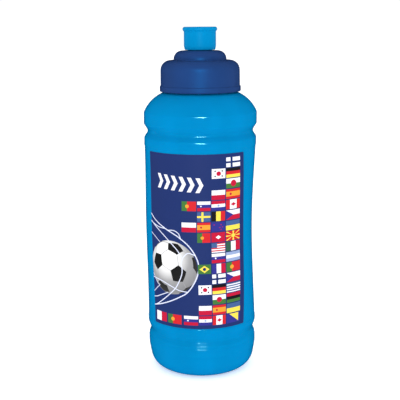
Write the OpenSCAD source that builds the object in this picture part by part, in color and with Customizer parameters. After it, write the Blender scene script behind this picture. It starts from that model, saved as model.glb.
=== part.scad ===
// Sports squeeze bottle: a blow-moulded bottle with a wrap label, and a screw cap
// with a push-pull spout. Millimetres, +Z up. The origin is the centre of the foot,
// on the ground, and the label faces -Y.

/* [Bottle] */
// Diameter of the shoulder band, the widest part of the bottle
shoulder_d = 70.3; // [70:0.1:74]
// Diameter of the land above the label panel
land_d = 69.9; // [68.6:0.1:70.2]
// Diameter at the waist of the label panel
waist_d = 67.2; // [64:0.1:67.8]
// Diameter of the land below the label panel
heel_d = 68.9; // [68:0.1:70]
// Diameter of the band above the foot
band_d = 68.5; // [67:0.1:70]
// Height of the waist
waist_z = 86; // [75:1:100]
// Radius that rounds the foot
foot_r = 10.4; // [7:0.1:11]
// Rise of the hollow under the foot
punt_h = 3; // [1:0.5:5]
// Thickness of the blown wall
wall = 1; // [0.7:0.1:1.2]

/* [Grooves] */
// Least diameter in the groove below the shoulder
upper_groove_d = 65.7; // [64:0.1:68]
// Least diameter in the groove above the foot
lower_groove_d = 65.8; // [64:0.1:67]

/* [Neck and thread] */
// Outside diameter of the neck, without its thread
neck_d = 42.8; // [42:0.1:43]
// Inside diameter of the neck
bore_d = 40; // [36:0.5:40]
// Height of the neck's rim above the ground
rim_z = 192.7; // [192:0.1:193]
// Rise of the thread in one turn
pitch = 4.2; // [4:0.1:4.4]
// Turns of thread on the neck, and in the cap
thread_turns = 1.25; // [1:0.05:1.4]
// Height of the neck's thread above its wall
thread_h = 1.3; // [1:0.05:1.3]

/* [Label] */
// Height of the label
label_h = 108; // [60:1:108]
// Height of the label's lower edge above the ground
label_z = 34; // [33.6:0.1:34.6]
// Angle of the label around the bottle
label_angle = 113; // [60:1:180]
// Turn of the label's middle from the front, towards -X
label_turn = 4.5; // [-30:0.5:30]
// Thickness of the label
label_t = 0.12; // [0.08:0.01:0.15]

/* [Cap] */
// Diameter of the cap's skirt
cap_d = 48.9; // [48.8:0.1:50.6]
// Height of the cap's lower edge above the ground
cap_z = 176.9; // [176.8:0.1:177.4]
// Height of the skirt, up to the step
skirt_h = 19; // [18.6:0.1:20]
// Radius that rounds the skirt's upper edge
skirt_round = 6; // [4:0.5:6]
// Diameter of the dome on the cap
dome_d = 32.6; // [31:0.1:36]
// Height of the dome
dome_h = 5.8; // [5.4:0.1:7]
// Thickness of the cap's walls
cap_wall = 1.4; // [1.2:0.1:1.5]

/* [Spout] */
// Diameter of the spout's barrel
spout_d = 19.7; // [19:0.1:20.5]
// Diameter of the bite lip
lip_d = 21.2; // [20.8:0.1:23]
// Height of the spout
spout_h = 13.9; // [13.5:0.1:16]
// Diameter of the drinking hole
hole_d = 5.5; // [4.6:0.1:6]
// Travel of the spout from closed to open
travel = 7; // [4:0.5:7]

/* [Hidden] */
$fn = 96;
front = -90;
body_color = "deepskyblue";
cap_color = "navy";

// Grooves, each from the level where it begins to the level where it ends
lower_groove = [22.2, 30.4];
upper_groove = [148.9, 157.3];
panel = [33.4, 143.7];
recess = 0.2;
band = [15.6, 20.2];
groove_fillet = 2.4;

neck_r = neck_d / 2;
bore_r = bore_d / 2;
neck_z = cap_z;

// The shoulder is an arc about a point inside the bottle, from the band to the neck
shoulder_arc = 22.3;
shoulder_reach = 20.65;
shoulder_in = shoulder_d / 2 - shoulder_reach;
shoulder_centre = [shoulder_in, neck_z - sqrt(pow(shoulder_arc, 2) - pow(neck_r - shoulder_in, 2))];

// Cap levels, and the gap that keeps the seal clear of the rim and the roof
roof_t = 2;
step_z = cap_z + skirt_h;
roof_z = step_z - roof_t;
dome_z = step_z + dome_h;
seal_gap = 0.05;
bead_r = cap_d / 2 + 0.65;
bead_h = 3.2;
skirt_in = cap_d / 2 - cap_wall;
thread_gap = 0.35;
dome_in = dome_d / 2 - cap_wall;

// Flow post, and the spout that slides on it
spout_z = dome_z + 0.4;
spout_top = spout_z + spout_h;
spout_wall = 1.5;
spout_roof = 1.8;
spout_in = spout_d / 2 - spout_wall;
keeper_r = spout_in - 0.5;
keeper_h = 1.2;
run_gap = 0.1;
piston_r = spout_in - run_gap;
piston_h = 1.2;
post_r = keeper_r - 0.4;
post_in = post_r - 1.7;
piston_z = spout_z + keeper_h + travel + 1;
post_top = piston_z + piston_h + 0.6;
pin_r = hole_d / 2 - 0.07;
pin_top = spout_top - 0.4;
hub_r = pin_r + 0.7;
spoke_w = 1.5;
spokes = 4;

// Points on an arc about c, from angle a0 to angle a1
function arc(c, r, a0, a1, n) =
    [for (i = [0:n]) let (a = a0 + (a1 - a0) * i / n) c + r * [cos(a), sin(a)]];

function unit(v) = v / norm(v);
function flat(p) = [p[0], p[1]];
function left(a, b) = let (d = unit(flat(b) - flat(a))) [-d[1], d[0]];
function turns_left(a, b, c) = left(a, b) * (flat(c) - flat(b)) > 0;

// The arc that rounds corner b of the path a-b-c, in steps of about 12 degrees
function corner(a, b, c) =
    let (
        u = unit(flat(a) - flat(b)),
        v = unit(flat(c) - flat(b)),
        half = acos(u * v) / 2,
        centre = flat(b) + unit(u + v) * b[2] / sin(half),
        from = flat(b) + u * b[2] / tan(half) - centre,
        sweep = (turns_left(a, b, c) ? 1 : -1) * (180 - 2 * half),
        start = atan2(from[1], from[0]),
        n = max(1, ceil(abs(sweep) / 12))
    )
    arc(centre, b[2], start, start + sweep, n);

// A path of [r, z, fillet] points with its corners rounded
function rounded(path) = [
    for (i = [0:len(path) - 1])
        each i == 0 || i == len(path) - 1 || path[i][2] == 0
            ? [flat(path[i])]
            : corner(path[i - 1], path[i], path[i + 1])
];

// The same path moved by d to its left, with its fillets kept parallel
function inset(path, d) = [
    for (i = [0:len(path) - 1])
        let (
            last = len(path) - 1,
            before = i == 0 ? left(path[0], path[1]) : left(path[i - 1], path[i]),
            after = i == last ? before : left(path[i], path[i + 1]),
            p = flat(path[i]) + (before + after) / (1 + before * after) * d,
            grow = i > 0 && i < last && turns_left(path[i - 1], path[i], path[i + 1]) ? -d : d
        )
        [p[0], p[1], path[i][2] == 0 ? 0 : max(0.2, path[i][2] + grow)]
];

function reversed(list) = [for (i = [len(list) - 1:-1:0]) list[i]];

// Radius of the label panel, which narrows to the waist
function panel_r(z) =
    let (
        end = z < waist_z ? panel[0] : panel[1],
        end_d = z < waist_z ? heel_d : land_d,
        s = (z - waist_z) / (end - waist_z)
    )
    waist_d / 2 + (end_d / 2 - recess - waist_d / 2) * s * s;

function panel_points(from, to, n) = [
    for (i = [0:n])
        let (z = from + (to - from) * i / n)
        [panel_r(z), z, 0]
];

// Outside of the bottle, from the middle of the foot up to the neck
shoulder = arc(
    shoulder_centre, shoulder_arc,
    acos(shoulder_reach / shoulder_arc), acos((neck_r - shoulder_in) / shoulder_arc), 10
);
outside = concat(
    [
        [0, punt_h, 0],
        [11, punt_h, 6],
        [18.5, 0, 2],
        [band_d / 2 - 2.7, 0, foot_r],
        [band_d / 2, band[0], 5],
        [band_d / 2, band[1], 0.5],
        [band_d / 2 - 0.2, band[1] + 0.35, 0.5],
        [band_d / 2 - 0.25, lower_groove[0], 1],
        [lower_groove_d / 2, lower_groove[0] + 2.4, 0.4],
        [lower_groove_d / 2, lower_groove[1] - 4.4, groove_fillet],
        [heel_d / 2, lower_groove[1], 3],
        [heel_d / 2, panel[0] - 0.15, 0]
    ],
    panel_points(panel[0], panel[1], 16),
    [
        [land_d / 2, panel[1] + 0.4, 0],
        [land_d / 2, upper_groove[0], 3],
        [upper_groove_d / 2, upper_groove[0] + 3.1, 1.6],
        [upper_groove_d / 2, upper_groove[1] - 3.7, groove_fillet],
        [shoulder_d / 2, upper_groove[1], 1.4]
    ],
    [for (i = [0:len(shoulder) - 1]) [shoulder[i][0], shoulder[i][1], i == 0 ? 3 : 0]]
);

module turned(points) {
    rotate_extrude()
        polygon(points);
}

// A trapezoid ridge on a helix, from radius root to radius crest, fading at both ends
module ridge(root, crest, z) {
    steps = round(36 * thread_turns);
    fade = 3;
    widths = [2.6, 1.3];
    rings = [
        for (i = [0:steps])
            let (
                a = 360 * thread_turns * i / steps,
                level = z + pitch * a / 360,
                f = min(1, 0.25 + 0.75 * min(i, steps - i) / fade),
                tip = root + (crest - root) * f
            )
            for (p = [
                [root, -widths[0] / 2],
                [tip, -widths[1] / 2],
                [tip, widths[1] / 2],
                [root, widths[0] / 2]
            ])
                [p[0] * cos(a), p[0] * sin(a), level + p[1]]
    ];
    sides = [
        for (i = [0:steps - 1])
            for (k = [0:3])
                let (m = (k + 1) % 4)
                [4 * i + k, 4 * i + 4 + k, 4 * i + 4 + m, 4 * i + m]
    ];
    faces = concat([[0, 1, 2, 3]], sides, [[for (k = [3:-1:0]) 4 * steps + k]]);
    polyhedron(rings, crest > root ? [for (f = faces) reversed(f)] : faces, convexity = 4);
}

// Blown shell with its neck and the neck's thread
module bottle_body() {
    neck = [
        [neck_r, rim_z, 0.5],
        [bore_r, rim_z, 0.5],
        [bore_r, neck_z - 0.6, 0]
    ];
    color(body_color) {
        turned(concat(rounded(concat(outside, neck)), reversed(rounded(inset(outside, wall)))));
        ridge(neck_r - 0.4, neck_r + thread_h, cap_z + 5);
    }
}

// Printed film on the panel, just clear of the wall that it is glued to
module label_decal() {
    glue = 0.03;
    top = label_z + label_h;
    film = panel_points(label_z, top, 14);
    color("midnightblue")
        rotate([0, 0, front - label_turn - label_angle / 2])
            rotate_extrude(angle = label_angle)
                polygon(concat(
                    [for (p = film) [p[0] + glue, p[1]]],
                    [for (p = reversed(film)) [p[0] + glue + label_t, p[1]]]
                ));
}

// Windows for the drink, between the spokes that hold the sealing pin
module flow_windows() {
    difference() {
        translate([0, 0, piston_z - 1])
            cylinder(r = post_in, h = post_top - piston_z + 2);
        translate([0, 0, piston_z - 2])
            cylinder(r = hub_r, h = post_top - piston_z + 4);
        for (i = [0:spokes / 2 - 1])
            rotate([0, 0, 180 / spokes * (2 * i + 1)])
                translate([-post_r, -spoke_w / 2, piston_z - 2])
                    cube([2 * post_r, spoke_w, post_top - piston_z + 4]);
    }
}

// Skirt, step, dome, flow post and sealing pin in one moulding
module screw_cap() {
    skirt_r = cap_d / 2;
    outer = [
        [bead_r, cap_z, 0.5],
        [bead_r, cap_z + bead_h, 0.4],
        [skirt_r + 0.1, cap_z + bead_h + 0.3, 0],
        [skirt_r - 0.05, step_z, skirt_round],
        [dome_d / 2, step_z, 0.6],
        [dome_d / 2 - 0.1, dome_z, 5.1],
        [post_r, dome_z, 0.5],
        [post_r, piston_z - 0.5, 0],
        [piston_r, piston_z, 0],
        [piston_r, piston_z + piston_h, 0],
        [post_r, post_top, 0.3],
        [pin_r, post_top, 0.3],
        [pin_r, pin_top, 0.5],
        [0, pin_top, 0]
    ];
    inner = [
        [skirt_in + 0.25, cap_z, 0],
        [skirt_in, cap_z + 0.6, 0],
        [skirt_in, roof_z, 2.4],
        [17.2, roof_z, 0],
        [17.2, roof_z - 2, 0.3],
        [16.2, roof_z - 2, 0.3],
        [16.2, roof_z, 0],
        [dome_in, roof_z, 0.5],
        [dome_in, dome_z - cap_wall, 3],
        [post_in, dome_z - cap_wall, 0.8],
        [post_in, piston_z - 0.2, 0],
        [0, piston_z - 0.2, 0]
    ];
    color(cap_color) {
        difference() {
            turned(concat(rounded(outer), reversed(rounded(inner))));
            flow_windows();
        }
        ridge(skirt_in + 0.4, neck_r + thread_gap, cap_z + 5 - pitch / 2);
    }
}

// Sealing ring between the neck's rim and the cap's roof
module cap_gasket() {
    color("whitesmoke")
        turned(rounded([
            [19.5, rim_z + seal_gap, 0],
            [21, rim_z + seal_gap, 0.25],
            [21, roof_z - seal_gap, 0.4],
            [17.5, roof_z - seal_gap, 0.25],
            [17.5, rim_z + seal_gap, 0]
        ]));
}

// Push-pull nozzle with its bite lip, and the keeper that stops it on the post
module pull_spout() {
    r = spout_d / 2;
    bottom = r - 0.45;
    under_roof = spout_top - spout_roof;
    color(body_color)
        turned(rounded([
            [keeper_r + 0.3, spout_z, 0],
            [bottom, spout_z, 0.4],
            [r, spout_z + 2, 1.5],
            [r, spout_top - 2.7, 1],
            [lip_d / 2, spout_top - 1.9, 0.4],
            [lip_d / 2, spout_top, 1.3],
            [hole_d / 2, spout_top, 0.5],
            [hole_d / 2, under_roof, 0.3],
            [spout_in, under_roof, 0.8],
            [spout_in, spout_z + keeper_h + 0.5, 0],
            [keeper_r, spout_z + keeper_h, 0],
            [keeper_r, spout_z + 0.3, 0]
        ]));
}

bottle_body();
label_decal();
screw_cap();
cap_gasket();
pull_spout();
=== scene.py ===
"""Sports squeeze bottle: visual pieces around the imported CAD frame. Outlines are in millimetres."""

import math

import bpy
from mathutils import Matrix, Vector
from mathutils.geometry import delaunay_2d_cdt


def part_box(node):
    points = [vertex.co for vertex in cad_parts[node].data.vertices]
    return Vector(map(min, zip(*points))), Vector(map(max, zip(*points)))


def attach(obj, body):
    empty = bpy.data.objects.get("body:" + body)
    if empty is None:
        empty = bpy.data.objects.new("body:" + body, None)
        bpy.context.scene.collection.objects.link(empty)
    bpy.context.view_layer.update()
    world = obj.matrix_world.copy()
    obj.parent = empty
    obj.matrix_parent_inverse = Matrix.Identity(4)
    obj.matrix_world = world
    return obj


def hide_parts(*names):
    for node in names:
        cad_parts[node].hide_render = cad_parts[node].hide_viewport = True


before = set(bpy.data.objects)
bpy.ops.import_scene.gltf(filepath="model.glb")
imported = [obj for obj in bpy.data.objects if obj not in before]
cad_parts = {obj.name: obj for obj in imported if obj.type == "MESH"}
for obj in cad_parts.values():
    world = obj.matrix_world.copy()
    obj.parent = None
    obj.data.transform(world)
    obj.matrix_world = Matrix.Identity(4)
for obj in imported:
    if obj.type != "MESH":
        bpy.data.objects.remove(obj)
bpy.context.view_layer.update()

MM = 0.001
FRONT = math.radians(-90)


def box_mm(node):
    """A CAD node's lowest and highest corner, in millimetres."""
    low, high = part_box(node)
    return low / MM, high / MM


BODY_HIGH = box_mm("bottle_body")[1]
LABEL_LOW, LABEL_HIGH = box_mm("label_decal")
CAP_LOW, CAP_HIGH = box_mm("screw_cap")
SPOUT_LOW, SPOUT_HIGH = box_mm("pull_spout")

# Bottle, as in the CAD. A pair is the lower and the upper end of a stretch
WALL = 1.0
FOOT_RISE = 3.0
FOOT_FILLET = 10.4
HOLLOW_R = 11.0
RING_R = 18.5
BAND_R = 34.25
BAND = (15.6, 20.2)
LOWER_GROOVE_R = 32.9
LOWER_GROOVE = (22.2, 30.4)
HEEL_R = 34.45
PANEL = (33.4, 143.7)
RECESS = 0.2
WAIST_R = 33.6
WAIST_Z = 86.0
LAND_R = 34.95
UPPER_GROOVE_R = 32.85
UPPER_GROOVE = (148.9, 157.3)
GROOVE_FILLET = 2.4
SHOULDER_R = BODY_HIGH.x
SHOULDER_ARC = 22.3
SHOULDER_REACH = 20.65
NECK_R = 21.4
BORE_R = 20.0
NECK_Z = CAP_LOW.z
RIM_Z = BODY_HIGH.z

# The blown wall gives a little, so the waist leans to one side
LEAN = -1.45
LEAN_Z = 93.0
LEAN_SPREAD = 30.0

# What blowing leaves on the wall: parting lines, a slow ripple, and the pinch-off across the foot
SEAMS = (0.0, math.pi)
SEAM_H = 0.09
SEAM_W = 0.22
RIPPLE = 0.03
PINCH_H = 0.35
PINCH_W = 0.5
PINCH_REACH = 17.0

# Thread, the same on the neck and in the cap. Its widths are at the root and at the crest
PITCH = 4.2
THREAD_TURNS = 1.25
THREAD_H = 1.3
THREAD_WIDTHS = (2.3, 1.3)
THREAD_Z = CAP_LOW.z + 5
# The turns over which its ends run out, and the stretch whose rings are this gap apart to carry it
THREAD_FADE = 0.06
THREAD_BAND = (CAP_LOW.z + 1.6, CAP_LOW.z + 12)
THREAD_GAP = 0.2

# Cap
BEAD_R = CAP_HIGH.x
SKIRT_R = BEAD_R - 0.65
SKIRT_IN = SKIRT_R - 1.4
STEP_Z = CAP_LOW.z + 19
ROOF_Z = STEP_Z - 2
DOME_R = 16.3
DOME_Z = STEP_Z + 5.8
CAP_WALL = 1.4
COLLAR = (16.2, 17.2)

# Spout and the post that it slides on
LIP_R = SPOUT_HIGH.x
BARREL_R = 9.85
SPOUT_IN = BARREL_R - 1.5
KEEPER_R = SPOUT_IN - 0.5
HOLE_R = 2.75
POST_R = KEEPER_R - 0.4
POST_IN = POST_R - 1.7
PISTON_Z = SPOUT_LOW.z + 9.2
POST_TOP = PISTON_Z + 1.8
PIN_R = HOLE_R - 0.07
PIN_TOP = CAP_HIGH.z
SPOKE_W = 1.5

# Label. Its print is laid out in u along the film, from this angle left of the front, and v up it
LABEL_START = math.radians(63.5)
LABEL_R = 34.0
LABEL_H = LABEL_HIGH.z - LABEL_LOW.z
# u of the film's sides, at its lower and its upper edge, and how far the right one bows out at the waist
LABEL_LEFT = (3.4, 1.2)
LABEL_RIGHT = (67.0, 66.5)
BOW = 3.1
# Numbers of columns and rows in the grid that lets the film follow the panel
LABEL_GRID = (34, 24)
FILM = 0.12
GLUE = 0.03


# ---------------------------------------------------------------- outlines


def rounded(path, step=6.0):
    """The (r, z, fillet) path with its corners rounded, as (r, z) points about step degrees apart."""
    points = []
    for i, (r, z, fillet) in enumerate(path):
        here = Vector((r, z))
        if fillet == 0 or i in (0, len(path) - 1):
            points.append(here)
            continue
        u = (Vector(path[i - 1][:2]) - here).normalized()
        v = (Vector(path[i + 1][:2]) - here).normalized()
        half = u.angle(v) / 2
        middle = here + (u + v).normalized() * fillet / math.sin(half)
        spoke = here + u * fillet / math.tan(half) - middle
        turn = math.copysign(math.pi - 2 * half, -u.cross(v))
        count = max(1, math.ceil(math.degrees(abs(turn)) / step))
        points += [middle + Matrix.Rotation(turn * k / count, 2) @ spoke for k in range(count + 1)]
    return points


def inset(path, depth):
    """The path moved by depth to its left, with its fillets kept parallel."""
    points = [Vector(p[:2]) for p in path]
    sides = []
    for a, b in zip(points, points[1:]):
        along = (b - a).normalized()
        sides.append(Vector((-along.y, along.x)))
    moved = []
    for i, (_, _, fillet) in enumerate(path):
        before = sides[max(i - 1, 0)]
        after = sides[min(i, len(sides) - 1)]
        p = points[i] + (before + after) / (1 + before.dot(after)) * depth
        grow = -depth if before.cross(after) > 0 else depth
        moved.append((p.x, p.y, max(0.2, fillet + grow) if fillet else 0))
    return moved


def resampled(points, gap, bands=()):
    """The points, with more between those over gap apart. Each (low, high, gap) band has its own gap."""
    out = [points[0]]
    for a, b in zip(points, points[1:]):
        limit = gap
        for low, high, finer in bands:
            if low <= min(a.y, b.y) and max(a.y, b.y) <= high:
                limit = finer
        count = max(1, math.ceil((b - a).length / limit))
        out += [a.lerp(b, k / count) for k in range(1, count + 1)]
    return out


def panel_r(z):
    """Radius of the label panel, which narrows to the waist."""
    end, end_r = (PANEL[0], HEEL_R) if z < WAIST_Z else (PANEL[1], LAND_R)
    s = (z - WAIST_Z) / (end - WAIST_Z)
    return WAIST_R + (end_r - RECESS - WAIST_R) * s * s


def lean(z):
    """How far the wall is shifted along X at a height."""
    return LEAN * math.exp(-((z - LEAN_Z) ** 2) / (2 * LEAN_SPREAD ** 2))


# ---------------------------------------------------------------- meshes


def make_object(name, verts, faces, sharp=40):
    """A mesh object from vertices in millimetres."""
    mesh = bpy.data.meshes.new(name)
    mesh.from_pydata([Vector(v) * MM for v in verts], [], faces)
    mesh.validate()
    mesh.shade_smooth()
    mesh.set_sharp_from_angle(angle=math.radians(sharp))
    piece = bpy.data.objects.new(name, mesh)
    bpy.context.scene.collection.objects.link(piece)
    return piece


def even_angles(count, crowded=(), spread=0.02, extra=6):
    """Angles round a turn, with some more on each side of the crowded ones."""
    angles = {2 * math.pi * k / count for k in range(count)}
    for middle in crowded:
        angles |= {(middle + spread * k / extra) % (2 * math.pi) for k in range(-extra, extra + 1)}
    kept = []
    for a in sorted(angles):
        if not kept or a - kept[-1] > 1e-4:
            kept.append(a)
    return kept


def lathe(outline, angles, place, closed):
    """Vertices and faces turned about Z from (r, z) points. place(angle, r, z, index) gives a vertex."""
    verts, rings = [], []
    for i, (r, z) in enumerate(outline):
        turns = angles if r > 1e-6 else angles[:1]
        rings.append(range(len(verts), len(verts) + len(turns)))
        verts += [place(a, r, z, i) for a in turns]
    faces = []
    count = len(angles)
    following = rings[1:] + rings[:1] if closed else rings[1:]
    for low, high in zip(rings, following):
        for k in range(count):
            m = (k + 1) % count
            corners = [low[k % len(low)], low[m % len(low)], high[m % len(high)], high[k % len(high)]]
            corners = list(dict.fromkeys(corners))
            if len(corners) > 2:
                faces.append(corners)
    return verts, faces


def plain_place(a, r, z, i):
    """A vertex of a plain turned shape."""
    return (r * math.cos(a), r * math.sin(a), z)


def thread_height(a, z, start):
    """How far a trapezoid ridge on a helix stands out at angle a and height z."""
    best = 0.0
    for k in range(math.ceil(THREAD_TURNS)):
        turns = a / (2 * math.pi) + k
        if turns > THREAD_TURNS:
            continue
        fade = min(1, min(turns, THREAD_TURNS - turns) / THREAD_FADE)
        off = abs(z - start - PITCH * turns)
        flank = (THREAD_WIDTHS[0] / 2 - off) / (THREAD_WIDTHS[0] / 2 - THREAD_WIDTHS[1] / 2)
        best = max(best, fade * min(1, max(0, flank)))
    return best * THREAD_H


# ---------------------------------------------------------------- materials


def new_material(name):
    """A material, with its nodes, links, shader and object coordinates."""
    material = bpy.data.materials.new(name)
    material.use_nodes = True
    nodes = material.node_tree.nodes
    where = nodes.new("ShaderNodeTexCoord").outputs["Object"]
    return material, nodes, material.node_tree.links, nodes["Principled BSDF"], where


def noise(nodes, links, coordinates, scale, detail, stretch=(1, 1, 1)):
    """A noise texture in the object's own space, in metres."""
    mapping = nodes.new("ShaderNodeMapping")
    mapping.inputs["Scale"].default_value = stretch
    links.new(coordinates, mapping.inputs["Vector"])
    texture = nodes.new("ShaderNodeTexNoise")
    texture.inputs["Scale"].default_value = scale
    texture.inputs["Detail"].default_value = detail
    links.new(mapping.outputs["Vector"], texture.inputs["Vector"])
    return texture.outputs["Fac"]


def ramp(nodes, links, value, stops):
    """A colour ramp from (position, colour) stops."""
    node = nodes.new("ShaderNodeValToRGB")
    elements = node.color_ramp.elements
    while len(elements) < len(stops):
        elements.new(0.5)
    for element, (position, color) in zip(elements, stops):
        element.position = position
        element.color = (*color, 1)
    links.new(value, node.inputs["Fac"])
    return node.outputs["Color"]


def spread(nodes, links, value, low, high):
    """The value, moved from 0.3..0.7 to low..high."""
    node = nodes.new("ShaderNodeMapRange")
    node.inputs["From Min"].default_value = 0.3
    node.inputs["From Max"].default_value = 0.7
    node.inputs["To Min"].default_value = low
    node.inputs["To Max"].default_value = high
    links.new(value, node.inputs["Value"])
    return node.outputs["Result"]


def bump(nodes, links, shader, value, depth, strength):
    """A bump of that depth in metres."""
    node = nodes.new("ShaderNodeBump")
    node.inputs["Distance"].default_value = depth
    node.inputs["Strength"].default_value = strength
    links.new(value, node.inputs["Height"])
    links.new(node.outputs["Normal"], shader.inputs["Normal"])


def tint(color, k):
    """The colour, k times as bright."""
    return tuple(min(1, c * k) for c in color)


def plastic(name, color, roughness, grain, stretch=(1, 1, 1), mottle=0.04, depth=0.00002, uneven=0.05,
            **sockets):
    """Moulded plastic: a faint mottle in the colour, an uneven satin, and a fine bump."""
    material, nodes, links, shader, where = new_material(name)
    cloud = noise(nodes, links, where, 55, 3, stretch)
    fine = noise(nodes, links, where, grain, 2)
    shades = [(0.35, tint(color, 1 - mottle)), (0.65, tint(color, 1 + mottle))]
    links.new(ramp(nodes, links, cloud, shades), shader.inputs["Base Color"])
    satin = spread(nodes, links, fine, roughness - uneven, roughness + uneven)
    links.new(satin, shader.inputs["Roughness"])
    bump(nodes, links, shader, fine, depth, 0.25)
    for socket, value in sockets.items():
        shader.inputs[socket.replace("_", " ")].default_value = value
    return material


def varnish(nodes, links, shader, where):
    """A satin varnish over a fine dot grain, which it returns."""
    dots = noise(nodes, links, where, 5000, 1)
    links.new(spread(nodes, links, dots, 0.38, 0.46), shader.inputs["Roughness"])
    shader.inputs["Specular IOR Level"].default_value = 0.02
    return dots


def ink(name, color):
    """Printed ink on film: an even colour with a faint dot grain."""
    material, nodes, links, shader, where = new_material(name)
    dots = varnish(nodes, links, shader, where)
    shades = [(0.35, tint(color, 0.95)), (0.65, tint(color, 1.05))]
    links.new(ramp(nodes, links, dots, shades), shader.inputs["Base Color"])
    return material


def shaded_ink(name, lit, bright, middle, dark):
    """Ink that darkens away from a lit point of the print, for the ball."""
    material, nodes, links, shader, where = new_material(name)
    dots = varnish(nodes, links, shader, where)
    distance = nodes.new("ShaderNodeVectorMath")
    distance.operation = "DISTANCE"
    distance.inputs[1].default_value = lit
    links.new(where, distance.inputs[0])
    scaled = nodes.new("ShaderNodeMath")
    scaled.operation = "DIVIDE"
    scaled.inputs[1].default_value = BALL_SHADE_REACH
    links.new(distance.outputs["Value"], scaled.inputs[0])
    uneven = nodes.new("ShaderNodeMath")
    uneven.operation = "MULTIPLY_ADD"
    uneven.inputs[1].default_value = 0.06
    links.new(dots, uneven.inputs[0])
    links.new(scaled.outputs["Value"], uneven.inputs[2])
    shades = [(0.0, bright), (0.3, bright), (0.62, middle), (1.0, dark)]
    links.new(ramp(nodes, links, uneven.outputs["Value"], shades), shader.inputs["Base Color"])
    return material


# ---------------------------------------------------------------- bottle


def body_outline():
    """Outside of the bottle, from the middle of the foot up to the neck."""
    inward = SHOULDER_R - SHOULDER_REACH
    middle_z = NECK_Z - math.sqrt(SHOULDER_ARC ** 2 - (NECK_R - inward) ** 2)
    start = math.acos(SHOULDER_REACH / SHOULDER_ARC)
    end = math.acos((NECK_R - inward) / SHOULDER_ARC)
    panel = [PANEL[0] + (PANEL[1] - PANEL[0]) * k / 40 for k in range(41)]
    path = [
        (0, FOOT_RISE, 0),
        (HOLLOW_R, FOOT_RISE, 6),
        (RING_R, 0, 2),
        (BAND_R - 2.7, 0, FOOT_FILLET),
        (BAND_R, BAND[0], 5),
        (BAND_R, BAND[1], 0.5),
        (BAND_R - 0.2, BAND[1] + 0.35, 0.5),
        (BAND_R - 0.25, LOWER_GROOVE[0], 1),
        (LOWER_GROOVE_R, LOWER_GROOVE[0] + 2.4, 0.4),
        (LOWER_GROOVE_R, LOWER_GROOVE[1] - 4.4, GROOVE_FILLET),
        (HEEL_R, LOWER_GROOVE[1], 3),
        (HEEL_R, PANEL[0] - 0.15, 0.15),
        *((panel_r(z), z, 0) for z in panel),
        (LAND_R, PANEL[1] + 0.4, 0.3),
        (LAND_R, UPPER_GROOVE[0], 3),
        (UPPER_GROOVE_R, UPPER_GROOVE[0] + 3.1, 1.6),
        (UPPER_GROOVE_R, UPPER_GROOVE[1] - 3.7, GROOVE_FILLET),
        (SHOULDER_R, UPPER_GROOVE[1], 1.4),
    ]
    steps = 24
    for k in range(steps + 1):
        a = start + (end - start) * k / steps
        fillet = 3 if k == 0 else 0
        path.append((inward + SHOULDER_ARC * math.cos(a), middle_z + SHOULDER_ARC * math.sin(a), fillet))
    return path


def make_body():
    """The blown shell in one closed mesh: foot, grooves, panel, shoulder, neck with thread, and inside."""
    outside = body_outline()
    neck = [(NECK_R, RIM_Z, 0.5), (BORE_R, RIM_Z, 0.5), (BORE_R, NECK_Z - 0.6, 0)]
    outer = resampled(rounded(outside + neck), 2.0, [(*THREAD_BAND, THREAD_GAP)])
    inner = resampled(rounded(inset(outside, WALL), 12), 5.0)
    outline = outer + inner[::-1]
    first_inner = next(i for i, p in enumerate(outer) if abs(p.y - RIM_Z) < 1e-4)

    def place(a, r, z, i):
        if i < first_inner:
            if THREAD_BAND[0] < z < THREAD_BAND[1] and r < NECK_R + 0.01:
                r += thread_height(a, z, THREAD_Z)
            if z < NECK_Z:
                off = min(abs((a - s + math.pi) % (2 * math.pi) - math.pi) for s in SEAMS) * r
                r += SEAM_H * math.exp(-((off / SEAM_W) ** 2)) * min(1, r / 20)
                r += RIPPLE * math.sin(3 * a + z / 23) * math.sin(z / 17 + 1) * min(1, r / 30)
        x, y = r * math.cos(a), r * math.sin(a)
        if z < FOOT_RISE + 1 and i < first_inner:
            z -= PINCH_H * math.exp(-((y / PINCH_W) ** 2)) * max(0, 1 - (r / PINCH_REACH) ** 4)
        return (x + lean(z), y, z)

    verts, faces = lathe(outline, even_angles(150, SEAMS), place, closed=False)
    body = make_object("bottle_shell", verts, faces)
    body.data.materials.append(plastic(
        "soft_blue_plastic", (0.0004, 0.231, 0.525), 0.10, 1600, (1, 1, 0.25), depth=0.000006, uneven=0.012,
        Specular_IOR_Level=0.2, Specular_Tint=(0.28, 1, 1, 1), Subsurface_Weight=0.1, Subsurface_Scale=0.002,
    ))
    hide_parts("bottle_body")
    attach(body, "bottle")


# ---------------------------------------------------------------- label


# The flat inks. The ball's have their own, in add_inks
INKS = {
    "navy": (0.0165, 0.0335, 0.142),
    "white": (0.86, 0.87, 0.93),
    "net": (0.72, 0.76, 0.93),
    "red": (0.52, 0.012, 0.045),
    "scarlet": (0.62, 0.022, 0.03),
    "orange": (0.80, 0.34, 0.04),
    "yellow": (0.88, 0.70, 0.09),
    "green": (0.06, 0.18, 0.045),
    "pine": (0.035, 0.11, 0.07),
    "blue": (0.035, 0.035, 0.26),
    "steel": (0.06, 0.12, 0.29),
    "sky": (0.30, 0.39, 0.63),
    "black": (0.012, 0.011, 0.014),
}


def film_point(u, v, lift):
    """A place on the label in space, lifted out of the glue. The film bows to the right at the waist."""
    bow = BOW * (u / LABEL_RIGHT[0]) ** 3 * (1 - (2 * v / LABEL_H - 1) ** 2)
    a = FRONT - LABEL_START + (u + bow) / LABEL_R
    z = LABEL_LOW.z + v
    r = panel_r(z) + GLUE + lift
    return Vector((r * math.cos(a) + lean(z), r * math.sin(a), z))


def rectangle(u0, v0, u1, v1):
    """The corners of an upright rectangle, in turn."""
    return [(u0, v0), (u1, v0), (u1, v1), (u0, v1)]


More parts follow.
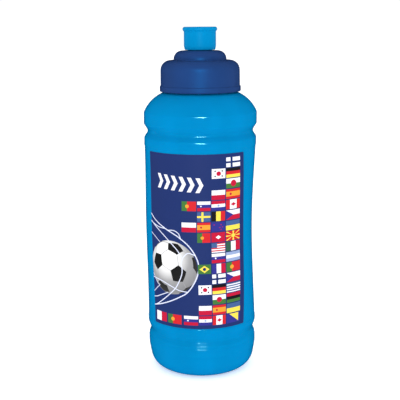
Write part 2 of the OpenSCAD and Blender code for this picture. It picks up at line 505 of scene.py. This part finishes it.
def regular(cu, cv, radius, count, start=0.0, squash=1.0):
    """A regular polygon or, with many sides, a disc."""
    turns = (start + 2 * math.pi * k / count for k in range(count))
    return [(cu + radius * math.cos(t), cv + squash * radius * math.sin(t)) for t in turns]


def curve_points(knots, per_span=7):
    """A smooth curve through the knots."""
    padded = [knots[0], *knots, knots[-1]]
    points = []
    for p0, p1, p2, p3 in zip(padded, padded[1:], padded[2:], padded[3:]):
        for k in range(per_span):
            t = k / per_span
            points.append(tuple(
                0.5 * (
                    2 * b + (c - a) * t + (2 * a - 5 * b + 4 * c - d) * t * t
                    + (3 * b - a - 3 * c + d) * t ** 3
                )
                for a, b, c, d in zip(p0, p1, p2, p3)
            ))
    return points + [knots[-1]]


def stroke(knots, width, per_span=7):
    """A line of that width along a smooth curve, as quadrilaterals that share their ends."""
    points = [Vector(p) for p in curve_points(knots, per_span)]
    left, right = [], []
    for i, p in enumerate(points):
        along = (points[min(i + 1, len(points) - 1)] - points[max(i - 1, 0)]).normalized()
        across = Vector((-along.y, along.x)) * width / 2
        left.append(tuple(p + across))
        right.append(tuple(p - across))
    return [
        [left[i], left[i + 1], right[i + 1], right[i]]
        for i in range(len(points) - 1)
    ]


class Tile:
    """A small flat pennant on the label, whose patterns are drawn in fractions of its sides."""

    def __init__(self, art, u, v, width, height):
        self.art, self.u, self.v, self.width, self.height = art, u, v, width, height

    def at(self, points):
        """Points on the label, from fractions of the tile."""
        return [(self.u + x * self.width, self.v + y * self.height) for x, y in points]

    def fill(self, points, color):
        """A flat shape in one ink."""
        self.art.append((self.at(points), color))

    def across(self, *colors):
        """Level bands, from the top."""
        step = 1 / len(colors)
        for k, color in enumerate(colors):
            self.fill(rectangle(0, 1 - (k + 1) * step, 1, 1 - k * step), color)

    def down(self, *colors, shares=None):
        """Upright bands, from the left."""
        shares = shares or [1 / len(colors)] * len(colors)
        x = 0
        for color, share in zip(colors, shares):
            self.fill(rectangle(x, 0, x + share, 1), color)
            x += share

    def cross(self, ground, color, x=0.4, arm=0.11):
        """A cross whose upright stands at x."""
        self.fill(rectangle(0, 0, 1, 1), ground)
        self.fill(rectangle(x - arm * 0.75, 0, x + arm * 0.75, 1), color)
        self.fill(rectangle(0, 0.5 - arm, 1, 0.5 + arm), color)

    def disc(self, color, x=0.5, size=0.2):
        """A round disc at half height."""
        squash = self.width / self.height
        self.fill(regular(x, 0.5, size, 20, squash=squash), color)

    def diamond(self, color, x=0.5, size=0.36):
        """A diamond at half height."""
        self.fill([(x - size, 0.5), (x, 0.5 - size), (x + size, 0.5), (x, 0.5 + size)], color)

    def wedge(self, color, reach=0.5):
        """A triangle on the left side."""
        self.fill([(0, 0), (reach, 0.5), (0, 1)], color)


def bands(*colors):
    """A pattern of level bands, from the top."""
    return lambda tile: tile.across(*colors)


def uprights(*colors):
    """A pattern of upright bands, from the left."""
    return lambda tile: tile.down(*colors)


dark_bands = bands("black", "scarlet", "yellow")
forest_bands = bands("red", "black", "green")
white_red = bands("white", "red")
steel_yellow = bands("steel", "yellow")
sky_bands = bands("sky", "white", "sky")
blue_stripes = bands(*["steel", "white"] * 4)
dark_uprights = uprights("black", "yellow", "scarlet")
green_uprights = uprights("pine", "white", "red")
blue_uprights = uprights("blue", "white", "red")
white_red_upright = uprights("white", "red")


def dice(tile):
    """White, with a disc and four dots."""
    tile.across("white")
    tile.disc("red", size=0.17)
    for x in (0.24, 0.76):
        for y in (0.24, 0.76):
            tile.fill(regular(x, y, 0.07, 4, math.pi / 4, 1.5), "black")


def rays(tile):
    """Red, with eight yellow rays about a disc."""
    tile.across("scarlet")
    for k in range(8):
        a = math.pi / 4 * k
        reach = 0.5 / max(abs(math.cos(a)), abs(math.sin(a)))
        tip = [(0.5 + reach * math.cos(a + s), 0.5 + reach * math.sin(a + s)) for s in (-0.14, 0.14)]
        tip = [(min(1, max(0, x)), min(1, max(0, y))) for x, y in tip]
        tile.fill([(0.5, 0.5), *tip], "yellow")
    tile.disc("yellow", size=0.12)


def split_disc(tile):
    """Green and red, parted by an orange disc."""
    tile.down("green", "scarlet", shares=(0.38, 0.62))
    tile.disc("orange", x=0.38, size=0.13)


def halves_disc(tile):
    """White over green, under a red disc."""
    tile.across("white", "green")
    tile.disc("red", size=0.2)


def tricolour_wedge(tile):
    """White over red, with a blue wedge."""
    tile.across("white", "red")
    tile.wedge("blue")


def banner_diamond(tile):
    """A red diamond between red sides."""
    tile.down("scarlet", "white", "scarlet", shares=(0.26, 0.48, 0.26))
    tile.diamond("red", size=0.19)


def gold_band(tile):
    """Red edges about a gold band, with a red dot."""
    tile.across("scarlet", "orange", "orange", "scarlet")
    tile.disc("red", x=0.3, size=0.08)


def three_bands(tile):
    """White, blue and red, with a white dot."""
    tile.across("white", "blue", "red")
    tile.disc("white", x=0.28, size=0.06)


def red_white_blue(tile):
    """Red, white and blue, with a pale blue disc."""
    tile.across("red", "white", "blue")
    tile.disc("sky", size=0.08)


def red_diamond(tile):
    """A white diamond on red."""
    tile.across("red")
    tile.diamond("white", size=0.2)


def green_diamond(tile):
    """A yellow diamond on green, with a navy disc."""
    tile.across("green")
    tile.diamond("yellow", size=0.38)
    tile.disc("navy", size=0.13)


def red_stripes(tile):
    """Red and white stripes, with a blue corner."""
    tile.across(*["scarlet", "white"] * 4)
    tile.fill(rectangle(0, 0.5, 0.4, 1), "steel")


def gold_cross(tile):
    """A yellow cross on blue."""
    tile.cross("steel", "yellow", arm=0.1)


def navy_cross(tile):
    """A navy cross on white."""
    tile.cross("white", "navy", x=0.36, arm=0.1)


def night_dots(tile):
    """Red dots on dark blue."""
    tile.across("blue")
    for x, y in ((0.2, 0.72), (0.7, 0.7), (0.62, 0.4), (0.8, 0.45), (0.7, 0.2)):
        tile.fill(regular(x, y, 0.05, 6), "red")


def gold_triangle(tile):
    """A yellow triangle on dark blue."""
    tile.across("blue")
    tile.fill([(0.18, 0.98), (0.86, 0.98), (0.86, 0.08)], "yellow")


# Columns of tiles, each with its left edge, its width, and its patterns by row from the top
COLUMNS = (
    (5.6, 9.0, {15: white_red_upright}),
    (15.6, 9.6, {15: split_disc}),
    (26.8, 8.7, {4: split_disc, 6: white_red, 15: three_bands}),
    (36.1, 7.7, {
        4: three_bands, 5: gold_cross, 6: gold_band, 7: split_disc, 10: green_diamond, 12: dice,
        14: white_red, 15: red_white_blue,
    }),
    (44.4, 8.3, {
        1: dice, 3: white_red, 4: red_white_blue, 5: dark_uprights, 6: night_dots, 7: red_diamond,
        8: red_stripes, 9: three_bands, 10: blue_uprights, 11: navy_cross, 12: dark_bands,
        13: halves_disc, 14: gold_band, 15: banner_diamond,
    }),
    (53.3, 10.0, {
        0: navy_cross, 1: dark_bands, 2: halves_disc, 3: gold_band, 4: banner_diamond,
        5: tricolour_wedge, 6: steel_yellow, 7: rays, 8: green_uprights, 9: sky_bands,
        10: split_disc, 11: tricolour_wedge, 12: blue_stripes, 13: forest_bands, 14: steel_yellow,
        15: gold_triangle,
    }),
)
TOP_ROW_V = 105.7
ROW_PITCH = 6.5
TILE_H = 5.9

# The ball's middle, radius, brightest point and seam width, and how far its shading reaches in metres
BALL = (18.9, 37.8)
BALL_R = 16.9
BALL_LIT = (16.0, 43.9)
BALL_SEAM = 0.32
BALL_SHADE_REACH = 0.026

# Net cords, each as its width and the knots of its curve
NET = (
    (0.65, ((0.9, 70.2), (7, 66), (14.6, 62.2), (22, 58.8), (25.5, 56.7), (30.4, 52.7), (34.3, 47.2),
            (36.5, 40.9), (36, 34.8), (33.6, 28.9), (29.4, 23), (24.2, 19.6), (16.9, 15.9), (9.5, 13),
            (2, 10.8))),
    (0.6, ((1, 65.6), (5.5, 63), (10.5, 60), (14.7, 57.1), (18.5, 54), (23.4, 49.4), (26.6, 44.6))),
    (0.45, ((1, 58.8), (2.6, 57.4), (6.8, 55.2), (10.6, 52.8))),
    (0.5, ((2, 64.6), (9.5, 62.3), (15.5, 61.8))),
    (0.5, ((17.5, 61), (21.5, 61.2), (24.6, 59.6), (26, 56.4))),
    (0.6, ((34.7, 46.4), (30.8, 47.7), (28.5, 46.3), (26.8, 43.8), (26.1, 40.8), (26.5, 37), (25.9, 33.4),
           (24.1, 29.2), (21.5, 24.8), (17.1, 20.5), (12.9, 17), (7.8, 13.3), (4.4, 11.4))),
    (0.55, ((2.4, 29.2), (11.6, 28.2), (19, 25.8), (23.9, 23.9), (29.4, 23.2))),
    (0.45, ((2.6, 31.8), (6.6, 26.8), (9.4, 25.2))),
    (0.45, ((9.4, 25.2), (6.4, 22.8), (2.6, 19.6))),
    (0.5, ((2.6, 16.3), (6.4, 17.3), (9.8, 18.8), (16.1, 21.6))),
)

# The header band holds a plain row of arrowheads
HEADER = dict(u=9.5, v=86.7, step=5.1, width=4.6, height=8.9, thick=2.4, drop=0.35, count=6)


def icosahedron():
    """Its twelve corners, as unit vectors, turned so that a white patch of the ball faces up and left."""
    g = (1 + math.sqrt(5)) / 2
    corners = []
    for a in (-1, 1):
        for b in (-g, g):
            corners += [Vector((0, a, b)), Vector((a, b, 0)), Vector((b, 0, a))]
    turn = Matrix.Rotation(math.radians(-4), 3, "Y") @ Matrix.Rotation(math.radians(-17), 3, "X")
    facing = Vector((1, 1, 1)).rotation_difference(Vector((0, 0, 1))).to_matrix()
    return [turn @ facing @ c.normalized() for c in corners]


def on_ball(direction):
    """A direction on the ball, drawn flat; one on the far side moves to the rim."""
    flat = Vector((direction.x, direction.y))
    if direction.z < 0:
        flat.normalize()
    return (BALL[0] + BALL_R * flat.x, BALL[1] + BALL_R * flat.y)


def between(a, b, steps):
    """Directions along the great arc from a to b, without b."""
    return [a.lerp(b, k / steps).normalized() for k in range(steps)]


def add_ball(art):
    """A plain ball of white patches with black five-sided ones, in its seams."""
    art.append((regular(*BALL, BALL_R, 72), "ball_white"))
    corners = icosahedron()
    # Only neighbouring corners are this near
    near = 1.2
    for i, c in enumerate(corners):
        ring = [d for d in corners if d is not c and (d - c).length < near]
        side = (ring[0] - ring[0].dot(c) * c).normalized()
        other = c.cross(side)
        ring.sort(key=lambda d: math.atan2(d.dot(other), d.dot(side)))
        for j, d in enumerate(corners):
            if j > i and (d - c).length < near:
                seam = (c.lerp(d, 1 / 3).normalized(), c.lerp(d, 2 / 3).normalized())
                if min(s.z for s in seam) > 0:
                    points = [on_ball(s) for s in (*between(*seam, 3), seam[1])]
                    art += [(quad, "ball_seam") for quad in stroke(points, BALL_SEAM, 1)]
        patch = [c.lerp(d, 1 / 3).normalized() for d in ring]
        if max(p.z for p in patch) > 0.05:
            outline = []
            for a, b in zip(patch, patch[1:] + patch[:1]):
                outline += [on_ball(s) for s in between(a, b, 4)]
            art.append((outline, "ball_black"))


def add_header(art):
    """A falling row of arrowheads."""
    thick = HEADER["thick"]
    for k in range(HEADER["count"]):
        u, v = HEADER["u"] + HEADER["step"] * k, HEADER["v"] - HEADER["drop"] * k
        nose, mid, top = u + HEADER["width"], v + HEADER["height"] / 2, v + HEADER["height"]
        outer_side = [(u + thick, top), (nose, mid), (u + thick, v)]
        art.append(([(u, v), (nose - thick, mid), (u, top), *outer_side], "white"))


def label_art():
    """Flat shapes as (outline, ink), each drawn over those before it."""
    art = [(rounded_sheet(), "navy")]
    add_header(art)
    add_ball(art)
    for width, knots in NET:
        art += [(quad, "net") for quad in stroke(knots, width)]
    for left, width, rows in COLUMNS:
        for row, pattern in rows.items():
            pattern(Tile(art, left, TOP_ROW_V - ROW_PITCH * row - TILE_H, width, TILE_H))
    return art


def rounded_sheet(radius=0.7, steps=5):
    """The film's outline, with its corners just rounded."""
    centres = (
        (LABEL_RIGHT[1] - radius, LABEL_H - radius), (LABEL_LEFT[1] + radius, LABEL_H - radius),
        (LABEL_LEFT[0] + radius, radius), (LABEL_RIGHT[0] - radius, radius),
    )
    points = []
    for quarter, (cu, cv) in enumerate(centres):
        for k in range(steps + 1):
            a = math.pi / 2 * (quarter + k / steps)
            points.append((cu + radius * math.cos(a), cv + radius * math.sin(a)))
    return points


def holds(outline, u, v):
    """Whether a point is inside a flat outline."""
    inside = False
    for (u0, v0), (u1, v1) in zip(outline, outline[1:] + outline[:1]):
        if (v0 > v) != (v1 > v) and u < (u1 - u0) * (v - v0) / (v1 - v0) + u0:
            inside = not inside
    return inside


def divide_label(art):
    """Triangles that no shape's edge crosses, and the ink of each one."""
    points, edges = [], []

    def line(*corners, closed):
        start = len(points)
        points.extend(Vector(c) for c in corners)
        edges.extend((start + k, start + k + 1) for k in range(len(corners) - 1))
        if closed:
            edges.append((start + len(corners) - 1, start))

    for outline, _ in art:
        line(*outline, closed=True)
    across, up = LABEL_GRID
    width = max(LABEL_RIGHT)
    for k in range(1, across):
        u = width * k / across
        line((u, 0), (u, LABEL_H), closed=False)
    for k in range(1, up):
        v = LABEL_H * k / up
        line((0, v), (width, v), closed=False)
    flat, _, triangles, _, _, _ = delaunay_2d_cdt(points, edges, [], 0, 1e-4)
    boxes = [
        (min(p[0] for p in o), min(p[1] for p in o), max(p[0] for p in o), max(p[1] for p in o))
        for o, _ in art
    ]
    kept, inks = [], []
    for t in triangles:
        u = sum(flat[k].x for k in t) / 3
        v = sum(flat[k].y for k in t) / 3
        if not holds(art[0][0], u, v):
            continue
        for (outline, color), (u0, v0, u1, v1) in zip(reversed(art), reversed(boxes)):
            if u0 <= u <= u1 and v0 <= v <= v1 and holds(outline, u, v):
                break
        kept.append(tuple(t))
        inks.append(color)
    return flat, kept, inks


def add_inks(label, inks):
    """A material for each ink, and the right one on each face of the front."""
    lit = film_point(*BALL_LIT, FILM) * MM
    white = ((0.93, 0.93, 0.93), (0.34, 0.34, 0.35), (0.20, 0.20, 0.21))
    black = ((0.012,) * 3, (0.016,) * 3, (0.05,) * 3)
    names = [*INKS, "ball_white", "ball_seam", "ball_black"]
    materials = [ink("print_" + name, color) for name, color in INKS.items()]
    materials.append(shaded_ink("print_ball_white", lit, *white))
    materials.append(ink("print_ball_seam", (0.34, 0.34, 0.36)))
    materials.append(shaded_ink("print_ball_black", lit, *black))
    for material in materials:
        label.data.materials.append(material)
    for k, color in enumerate(inks):
        label.data.polygons[k].material_index = names.index(color)


def film_normal(p):
    """The panel's outward direction at a point of the film."""
    out = Vector((p.x - lean(p.z), p.y, 0)).normalized()
    out.z = panel_r(p.z - 0.5) - panel_r(p.z + 0.5)
    return out.normalized()


def make_label():
    """The printed film: a thin closed sheet whose front is divided along every printed edge."""
    flat, triangles, inks = divide_label(label_art())
    used = sorted({k for t in triangles for k in t})
    renumber = {k: i for i, k in enumerate(used)}
    front = [film_point(flat[k].x, flat[k].y, FILM) for k in used]
    back = [film_point(flat[k].x, flat[k].y, 0) for k in used]
    count = len(used)
    triangles = [tuple(renumber[k] for k in t) for t in triangles]
    # What is left of the triangles' sides, once those that two share are out, is the film's edge
    sides = {}
    for t in triangles:
        for a, b in zip(t, t[1:] + t[:1]):
            if sides.pop((b, a), None) is None:
                sides[(a, b)] = True
    faces = list(triangles)
    faces += [tuple(count + k for k in reversed(t)) for t in triangles]
    faces += [(b, a, count + a, count + b) for a, b in sides]
    label = make_object("label_film", front + back, faces, sharp=30)
    add_inks(label, inks)
    normals = [film_normal(p) for p in front] + [-film_normal(p) for p in back]
    label.data.normals_split_custom_set_from_vertices(normals)
    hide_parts("label_decal")
    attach(label, "bottle")


# ---------------------------------------------------------------- cap, seal and spout


def make_cap():
    """Skirt, step, dome and flow post, with the thread inside the skirt."""
    outer = [
        (BEAD_R - 0.6, CAP_LOW.z, 0),
        (BEAD_R, CAP_LOW.z, 0.5),
        (BEAD_R, CAP_LOW.z + 3.2, 0.45),
        (SKIRT_R + 0.12, CAP_LOW.z + 3.5, 0.25),
        (SKIRT_R - 0.05, STEP_Z, 6),
        (DOME_R, STEP_Z, 0.6),
        (DOME_R - 0.1, DOME_Z, 5.1),
        (POST_R, DOME_Z, 0.5),
        (POST_R, PISTON_Z - 0.5, 0.2),
        (SPOUT_IN - 0.1, PISTON_Z, 0.2),
        (SPOUT_IN - 0.1, PISTON_Z + 1.2, 0.3),
        (POST_R, POST_TOP, 0.3),
    ]
    inner = [
        (POST_IN, POST_TOP, 0.2),
        (POST_IN, DOME_Z - CAP_WALL, 0.8),
        (DOME_R - CAP_WALL, DOME_Z - CAP_WALL, 3),
        (DOME_R - CAP_WALL, ROOF_Z, 0.5),
        (COLLAR[0], ROOF_Z, 0),
        (COLLAR[0], ROOF_Z - 2, 0.3),
        (COLLAR[1], ROOF_Z - 2, 0.3),
        (COLLAR[1], ROOF_Z, 0),
        (SKIRT_IN, ROOF_Z, 2.4),
        (SKIRT_IN, CAP_LOW.z + 0.6, 0.3),
        (SKIRT_IN + 0.25, CAP_LOW.z, 0),
    ]
    outline = resampled(rounded(outer + inner), 1.5)
    inside = next(i for i, p in enumerate(outline) if p.x < POST_IN + 0.3 and p.y > POST_TOP - 0.3)
    finer = [(THREAD_BAND[0] - 3, THREAD_BAND[1], THREAD_GAP)]
    outline = outline[:inside] + resampled(outline[inside:], 2.0, finer)

    def place(a, r, z, i):
        if i >= inside and r > SKIRT_IN - 0.01:
            r -= thread_height(a, z, THREAD_Z - PITCH / 2)
        return plain_place(a, r, z, i)

    verts, faces = lathe(outline, even_angles(150), place, closed=True)
    cap = make_object("cap_shell", verts, faces)
    navy = plastic(
        "navy_cap_plastic", (0.0148, 0.048, 0.176), 0.42, 1400, depth=0.00003, mottle=0.05,
        Specular_IOR_Level=0.1, Specular_Tint=(0.0, 0.35, 1, 1),
    )
    cap.data.materials.append(navy)
    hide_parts("screw_cap")
    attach(cap, "cap")
    make_pin(navy)


def make_pin(material):
    """The sealing pin on its hub, and the spokes that hold it in the post's bore."""
    hub = PIN_R + 0.7
    spokes = 4
    reach = POST_IN + 0.4
    half = SPOKE_W / 2
    outline = []
    for s in range(spokes):
        middle = math.pi / spokes * (2 * s + 1)
        root = math.asin(half / hub)
        tip = math.asin(half / reach)
        outline += [(hub, middle - root), (reach, middle - tip), (reach, middle + tip)]
        gap = 2 * math.pi / spokes - 2 * root
        outline += [(hub, middle + root + gap * k / 8) for k in range(8)]
    count = len(outline)
    levels = (PISTON_Z - 0.2, POST_TOP)
    verts = [(r * math.cos(a), r * math.sin(a), z) for z in levels for r, a in outline]
    faces = [tuple(range(count))[::-1], tuple(range(count, 2 * count))]
    for k in range(count):
        m = (k + 1) % count
        faces.append((k, m, count + m, count + k))
    pin = rounded([
        (0, POST_TOP - 0.3, 0), (PIN_R, POST_TOP - 0.3, 0), (PIN_R, PIN_TOP, 0.5), (0, PIN_TOP, 0),
    ])
    pin_verts, pin_faces = lathe(pin, even_angles(48), plain_place, closed=False)
    faces += [[len(verts) + k for k in f] for f in pin_faces]
    piece = make_object("cap_sealing_pin", verts + pin_verts, faces)
    piece.data.materials.append(material)
    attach(piece, "cap")


def make_spout():
    """The push-pull nozzle with its bite lip, and the keeper at its foot."""
    under_roof = SPOUT_HIGH.z - 1.8
    outline = rounded([
        (KEEPER_R + 0.3, SPOUT_LOW.z, 0),
        (BARREL_R - 0.45, SPOUT_LOW.z, 0.4),
        (BARREL_R, SPOUT_LOW.z + 2, 1.5),
        (BARREL_R, SPOUT_HIGH.z - 2.7, 1),
        (LIP_R, SPOUT_HIGH.z - 1.9, 0.4),
        (LIP_R, SPOUT_HIGH.z, 1.3),
        (HOLE_R + 2.4, SPOUT_HIGH.z, 0.5),
        (HOLE_R + 1.9, SPOUT_HIGH.z - 0.3, 0.3),
        (HOLE_R, SPOUT_HIGH.z - 0.3, 0.3),
        (HOLE_R, under_roof, 0.3),
        (SPOUT_IN, under_roof, 0.8),
        (SPOUT_IN, SPOUT_LOW.z + 1.7, 0),
        (KEEPER_R, SPOUT_LOW.z + 1.2, 0),
        (KEEPER_R, SPOUT_LOW.z + 0.3, 0),
    ])
    verts, faces = lathe(resampled(outline, 1.0), even_angles(160), plain_place, closed=True)
    spout = make_object("spout_shell", verts, faces)
    spout.data.materials.append(plastic(
        "blue_spout_plastic", (0.0008, 0.245, 0.55), 0.34, 2200, depth=0.00001,
        Specular_IOR_Level=0.014, Specular_Tint=(0.3, 1, 1, 1),
    ))
    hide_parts("pull_spout")
    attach(spout, "spout")


def finish_seal():
    """The seal keeps its CAD shape and takes a fine foam skin."""
    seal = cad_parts["cap_gasket"]
    foam = plastic("white_seal_foam", (0.74, 0.74, 0.71), 0.6, 3500, mottle=0.05, depth=0.00006)
    seal.data.materials.clear()
    seal.data.materials.append(foam)
    seal.data.shade_smooth()
    seal.data.set_sharp_from_angle(angle=math.radians(40))


# ---------------------------------------------------------------- stage, light and camera


# In metres, from the middle of the foot
LAMP_Y = -1.1
CAMERA_PLACE = (0, -0.5604, 0.2185)
# In degrees
CAMERA_TURNS = {"yaw": 0.073, "down": 11.155, "roll": -0.45}


def area_light(name, place, aim, width, height, strength, reflected):
    """A rectangular lamp, which either shows as a reflection or gives even light."""
    light = bpy.data.lights.new(name, "AREA")
    light.shape = "RECTANGLE"
    light.size = width
    light.size_y = height
    light.energy = strength
    lamp = bpy.data.objects.new(name, light)
    lamp.location = place
    lamp.rotation_euler = (Vector(aim) - Vector(place)).to_track_quat("-Z", "Y").to_euler()
    lamp.visible_glossy = reflected
    lamp.visible_diffuse = not reflected
    bpy.context.scene.collection.objects.link(lamp)


def make_stage():
    """A pale floor with a faint glow, a white sky, and two lamps. Only the softbox shows in reflections."""
    reach = 8000
    corners = [(u, v, 0) for u, v in rectangle(-reach, -reach, reach, reach)]
    floor = make_object("floor", corners, [(0, 1, 2, 3)])
    material, nodes, links, shader, where = new_material("pale_floor")
    cloud = noise(nodes, links, where, 2, 2)
    shades = [(0.3, (0.93, 0.93, 0.93)), (0.7, (0.95, 0.95, 0.95))]
    links.new(ramp(nodes, links, cloud, shades), shader.inputs["Base Color"])
    shader.inputs["Roughness"].default_value = 0.9
    shader.inputs["Specular IOR Level"].default_value = 0.0
    shader.inputs["Emission Color"].default_value = (1, 1, 1, 1)
    shader.inputs["Emission Strength"].default_value = 0.4
    floor.data.materials.append(material)
    floor.visible_glossy = False

    world = bpy.data.worlds.new("white_sky")
    world.use_nodes = True
    sky = world.node_tree.nodes["Background"]
    sky.inputs["Color"].default_value = (1, 1, 1, 1)
    sky.inputs["Strength"].default_value = 1.03
    world.cycles_visibility.glossy = False
    bpy.context.scene.world = world

    top = SPOUT_HIGH.z * MM
    aim = (0, 0, top * 0.6)
    area_light("key", (0, LAMP_Y, top + 0.08), aim, width=0.34, height=0.08, strength=1.5, reflected=False)
    area_light("softbox", (0, LAMP_Y, top + 0.17), aim, width=0.37, height=0.12, strength=34, reflected=True)


def make_camera():
    """In front and a little above, as a product photograph is taken."""
    camera = bpy.data.cameras.new("camera")
    camera.sensor_width = 36
    camera.lens = 81
    camera.clip_start = 0.01
    camera.clip_end = 100
    eye = bpy.data.objects.new("camera", camera)
    yaw = Matrix.Rotation(math.radians(CAMERA_TURNS["yaw"]), 4, "Z")
    pitch = Matrix.Rotation(math.radians(90 - CAMERA_TURNS["down"]), 4, "X")
    roll = Matrix.Rotation(math.radians(CAMERA_TURNS["roll"]), 4, "Z")
    eye.matrix_world = Matrix.Translation(CAMERA_PLACE) @ yaw @ pitch @ roll
    bpy.context.scene.collection.objects.link(eye)
    bpy.context.scene.camera = eye


make_camera()
make_body()
make_label()
make_cap()
make_spout()
finish_seal()
make_stage()

bpy.context.scene.view_settings.view_transform = "Standard"
